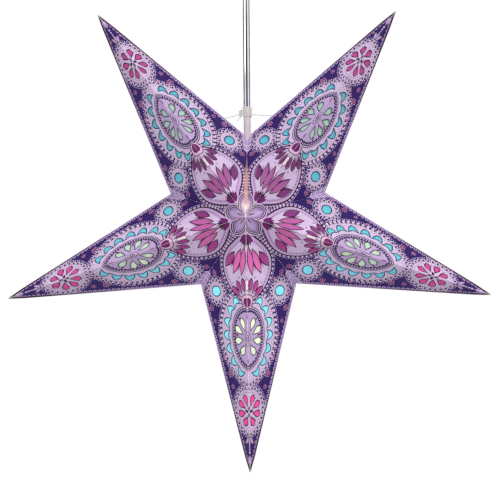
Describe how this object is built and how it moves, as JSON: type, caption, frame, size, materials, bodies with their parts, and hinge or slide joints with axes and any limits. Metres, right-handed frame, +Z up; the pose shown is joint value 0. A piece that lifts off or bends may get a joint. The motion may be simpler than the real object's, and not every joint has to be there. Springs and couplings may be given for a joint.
{
  "type": "paper star lantern",
  "caption": "Five-pointed folded paper star lantern with backed cut-outs, tied to a lamp tube that hangs from a ceiling cup and holds a bulb inside.",
  "frame": {"origin": "middle of the ceiling plate's upper face, where the fitting meets the ceiling", "axes": "+Z up out of the ceiling face along the lamp tube, -Y to the star's front, +X to the right seen from the front"},
  "size_m": [0.5922, 0.1876, 0.6311],
  "materials": {
    "paper_print": "matt printed paper, indigo ground with a lilac, pink and turquoise pattern",
    "tissue_backing": "translucent coloured tissue",
    "twine": "off-white cotton twine",
    "chrome_tube": "polished chrome",
    "steel_bracket": "zinc-plated steel",
    "terminal_plastic": "moulded plastic",
    "brass_parts": "bare brass",
    "holder_plastic": "white moulded plastic",
    "flex_sheath": "white cable sheath",
    "bulb_metal": "bare aluminium",
    "frosted_glass": "frosted glass, lit warm white",
    "clear_glass": "clear glass"
  },
  "bodies": {
    "ceiling_lamp": {"ceiling_plate": "steel_bracket", "ceiling_cup": "chrome_tube", "cup_screw_left": "chrome_tube", "cup_screw_right": "chrome_tube", "terminal_block": "terminal_plastic", "tube_collar": "chrome_tube", "tube_nut": "steel_bracket", "lamp_tube": "chrome_tube", "lamp_flex": "flex_sheath", "holder_cap": "holder_plastic", "holder_body": "holder_plastic", "thread_shell": "brass_parts", "centre_contact": "brass_parts"},
    "bulb": {"bulb_cap": "bulb_metal", "bulb_glass": "frosted_glass", "bulb_stem": "clear_glass"},
    "tie_ring": {"twine_wrap": "twine"},
    "bottom_front_ccw": {"paper_bottom_front_ccw": "paper_print", "tissue_bottom_front_ccw": "tissue_backing"},
    "bottom_front_cw": {"paper_bottom_front_cw": "paper_print", "tissue_bottom_front_cw": "tissue_backing"},
    "bottom_back_ccw": {"paper_bottom_back_ccw": "paper_print", "tissue_bottom_back_ccw": "tissue_backing"},
    "bottom_back_cw": {"paper_bottom_back_cw": "paper_print", "tissue_bottom_back_cw": "tissue_backing"},
    "low_right_front_ccw": {"paper_low_right_front_ccw": "paper_print", "tissue_low_right_front_ccw": "tissue_backing"},
    "low_right_front_cw": {"paper_low_right_front_cw": "paper_print", "tissue_low_right_front_cw": "tissue_backing"},
    "low_right_back_ccw": {"paper_low_right_back_ccw": "paper_print", "tissue_low_right_back_ccw": "tissue_backing"},
    "low_right_back_cw": {"paper_low_right_back_cw": "paper_print", "tissue_low_right_back_cw": "tissue_backing"},
    "top_right_front_ccw": {"paper_top_right_front_ccw": "paper_print", "tissue_top_right_front_ccw": "tissue_backing", "tie_twine_right": "twine"},
    "top_right_front_cw": {"paper_top_right_front_cw": "paper_print", "tissue_top_right_front_cw": "tissue_backing"},
    "top_right_back_ccw": {"paper_top_right_back_ccw": "paper_print", "tissue_top_right_back_ccw": "tissue_backing"},
    "top_right_back_cw": {"paper_top_right_back_cw": "paper_print", "tissue_top_right_back_cw": "tissue_backing"},
    "top_left_front_ccw": {"paper_top_left_front_ccw": "paper_print", "tissue_top_left_front_ccw": "tissue_backing"},
    "top_left_front_cw": {"paper_top_left_front_cw": "paper_print", "tissue_top_left_front_cw": "tissue_backing", "tie_twine_left": "twine", "twine_knot": "twine"},
    "top_left_back_ccw": {"paper_top_left_back_ccw": "paper_print", "tissue_top_left_back_ccw": "tissue_backing"},
    "top_left_back_cw": {"paper_top_left_back_cw": "paper_print", "tissue_top_left_back_cw": "tissue_backing"},
    "low_left_front_ccw": {"paper_low_left_front_ccw": "paper_print", "tissue_low_left_front_ccw": "tissue_backing"},
    "low_left_front_cw": {"paper_low_left_front_cw": "paper_print", "tissue_low_left_front_cw": "tissue_backing"},
    "low_left_back_ccw": {"paper_low_left_back_ccw": "paper_print", "tissue_low_left_back_ccw": "tissue_backing"},
    "low_left_back_cw": {"paper_low_left_back_cw": "paper_print", "tissue_low_left_back_cw": "tissue_backing"}
  },
  "joints": [
    {"name": "bulb_turn", "type": "hinge", "parent": "ceiling_lamp", "child": "bulb", "pos_m": [0, 0, -0.33], "axis": [0, 0, 1], "continuous": true},
    {"name": "star_turn", "type": "hinge", "parent": "ceiling_lamp", "child": "tie_ring", "pos_m": [0, 0, -0.19], "axis": [0, 0, 1], "continuous": true},
    {"name": "star_opening", "type": "hinge", "parent": "tie_ring", "child": "bottom_front_ccw", "pos_m": [0, -0.095, -0.32], "axis": [0, -0.2887, 0.9574], "range_deg": [0, 10]},
    {"name": "ridge_bottom_front", "type": "hinge", "parent": "tie_ring", "child": "bottom_front_cw", "pos_m": [0, -0.095, -0.32], "axis": [0, 0.2887, -0.9574], "range_deg": [0, 10.3]},
    {"name": "valley_306_front", "type": "hinge", "parent": "bottom_front_ccw", "child": "low_right_front_cw", "pos_m": [0, -0.095, -0.32], "axis": [0.4241, 0.6924, -0.5837], "range_deg": [0, 20.7]},
    {"name": "ridge_low_right_front", "type": "hinge", "parent": "low_right_front_cw", "child": "low_right_front_ccw", "pos_m": [0, -0.095, -0.32], "axis": [-0.9105, -0.2887, 0.2959], "range_deg": [0, 20.3]},
    {"name": "valley_18_front", "type": "hinge", "parent": "low_right_front_ccw", "child": "top_right_front_cw", "pos_m": [0, -0.095, -0.32], "axis": [0.6862, 0.6924, 0.223], "range_deg": [0, 20.7]},
    {"name": "ridge_top_right_front", "type": "hinge", "parent": "top_right_front_cw", "child": "top_right_front_ccw", "pos_m": [0, -0.095, -0.32], "axis": [-0.5627, -0.2887, -0.7746], "range_deg": [0, 20.3]},
    {"name": "valley_234_front", "type": "hinge", "parent": "bottom_front_cw", "child": "low_left_front_ccw", "pos_m": [0, -0.095, -0.32], "axis": [0.4241, -0.6924, 0.5837], "range_deg": [0, 20.7]},
    {"name": "ridge_low_left_front", "type": "hinge", "parent": "low_left_front_ccw", "child": "low_left_front_cw", "pos_m": [0, -0.095, -0.32], "axis": [-0.9105, 0.2887, -0.2959], "range_deg": [0, 20.3]},
    {"name": "valley_162_front", "type": "hinge", "parent": "low_left_front_cw", "child": "top_left_front_ccw", "pos_m": [0, -0.095, -0.32], "axis": [0.6862, -0.6924, -0.223], "range_deg": [0, 20.7]},
    {"name": "ridge_top_left_front", "type": "hinge", "parent": "top_left_front_ccw", "child": "top_left_front_cw", "pos_m": [0, -0.095, -0.32], "axis": [-0.5627, 0.2887, 0.7746], "range_deg": [0, 20.3]},
    {"name": "rim_bottom_ccw", "type": "hinge", "parent": "bottom_front_ccw", "child": "bottom_back_ccw", "pos_m": [0.05819, 0, -0.40009], "axis": [-0.2405, 0, -0.9707], "range_deg": [0, 19.94]},
    {"name": "rim_bottom_cw", "type": "hinge", "parent": "bottom_front_cw", "child": "bottom_back_cw", "pos_m": [-0.05819, 0, -0.40009], "axis": [-0.2405, 0, 0.9707], "range_deg": [0, 19.94]},
    {"name": "rim_low_right_ccw", "type": "hinge", "parent": "low_right_front_ccw", "child": "low_right_back_ccw", "pos_m": [0.09416, 0, -0.28941], "axis": [0.8489, 0, -0.5286], "range_deg": [0, 19.94]},
    {"name": "rim_low_right_cw", "type": "hinge", "parent": "low_right_front_cw", "child": "low_right_back_cw", "pos_m": [0.05819, 0, -0.40009], "axis": [-0.9975, 0, 0.0713], "range_deg": [0, 19.94]},
    {"name": "rim_top_right_ccw", "type": "hinge", "parent": "top_right_front_ccw", "child": "top_right_back_ccw", "pos_m": [0, 0, -0.221], "axis": [0.7651, 0, 0.6439], "range_deg": [0, 19.94]},
    {"name": "rim_top_right_cw", "type": "hinge", "parent": "top_right_front_cw", "child": "top_right_back_cw", "pos_m": [0.09416, 0, -0.28941], "axis": [-0.376, 0, -0.9266], "range_deg": [0, 19.94]},
    {"name": "rim_top_left_ccw", "type": "hinge", "parent": "top_left_front_ccw", "child": "top_left_back_ccw", "pos_m": [-0.09416, 0, -0.28941], "axis": [-0.376, 0, 0.9266], "range_deg": [0, 19.94]},
    {"name": "rim_top_left_cw", "type": "hinge", "parent": "top_left_front_cw", "child": "top_left_back_cw", "pos_m": [0, 0, -0.221], "axis": [0.7651, 0, -0.6439], "range_deg": [0, 19.94]},
    {"name": "rim_low_left_ccw", "type": "hinge", "parent": "low_left_front_ccw", "child": "low_left_back_ccw", "pos_m": [-0.05819, 0, -0.40009], "axis": [-0.9975, 0, -0.0713], "range_deg": [0, 19.94]},
    {"name": "rim_low_left_cw", "type": "hinge", "parent": "low_left_front_cw", "child": "low_left_back_cw", "pos_m": [-0.09416, 0, -0.28941], "axis": [0.8489, 0, 0.5286], "range_deg": [0, 19.94]}
  ],
  "couplings": [
    {"joint": "ridge_bottom_front", "follows": "star_opening", "ratio": 1},
    {"joint": "valley_306_front", "follows": "star_opening", "ratio": 2.04},
    {"joint": "ridge_low_right_front", "follows": "star_opening", "ratio": 2},
    {"joint": "valley_18_front", "follows": "star_opening", "ratio": 2.04},
    {"joint": "ridge_top_right_front", "follows": "star_opening", "ratio": 2},
    {"joint": "valley_234_front", "follows": "star_opening", "ratio": 2.04},
    {"joint": "ridge_low_left_front", "follows": "star_opening", "ratio": 2},
    {"joint": "valley_162_front", "follows": "star_opening", "ratio": 2.04},
    {"joint": "ridge_top_left_front", "follows": "star_opening", "ratio": 2},
    {"joint": "rim_bottom_ccw", "follows": "star_opening", "ratio": 1.964},
    {"joint": "rim_bottom_cw", "follows": "star_opening", "ratio": 1.964},
    {"joint": "rim_low_right_ccw", "follows": "star_opening", "ratio": 1.964},
    {"joint": "rim_low_right_cw", "follows": "star_opening", "ratio": 1.964},
    {"joint": "rim_top_right_ccw", "follows": "star_opening", "ratio": 1.964},
    {"joint": "rim_top_right_cw", "follows": "star_opening", "ratio": 1.964},
    {"joint": "rim_top_left_ccw", "follows": "star_opening", "ratio": 1.964},
    {"joint": "rim_top_left_cw", "follows": "star_opening", "ratio": 1.964},
    {"joint": "rim_low_left_ccw", "follows": "star_opening", "ratio": 1.964},
    {"joint": "rim_low_left_cw", "follows": "star_opening", "ratio": 1.964}
  ]
}
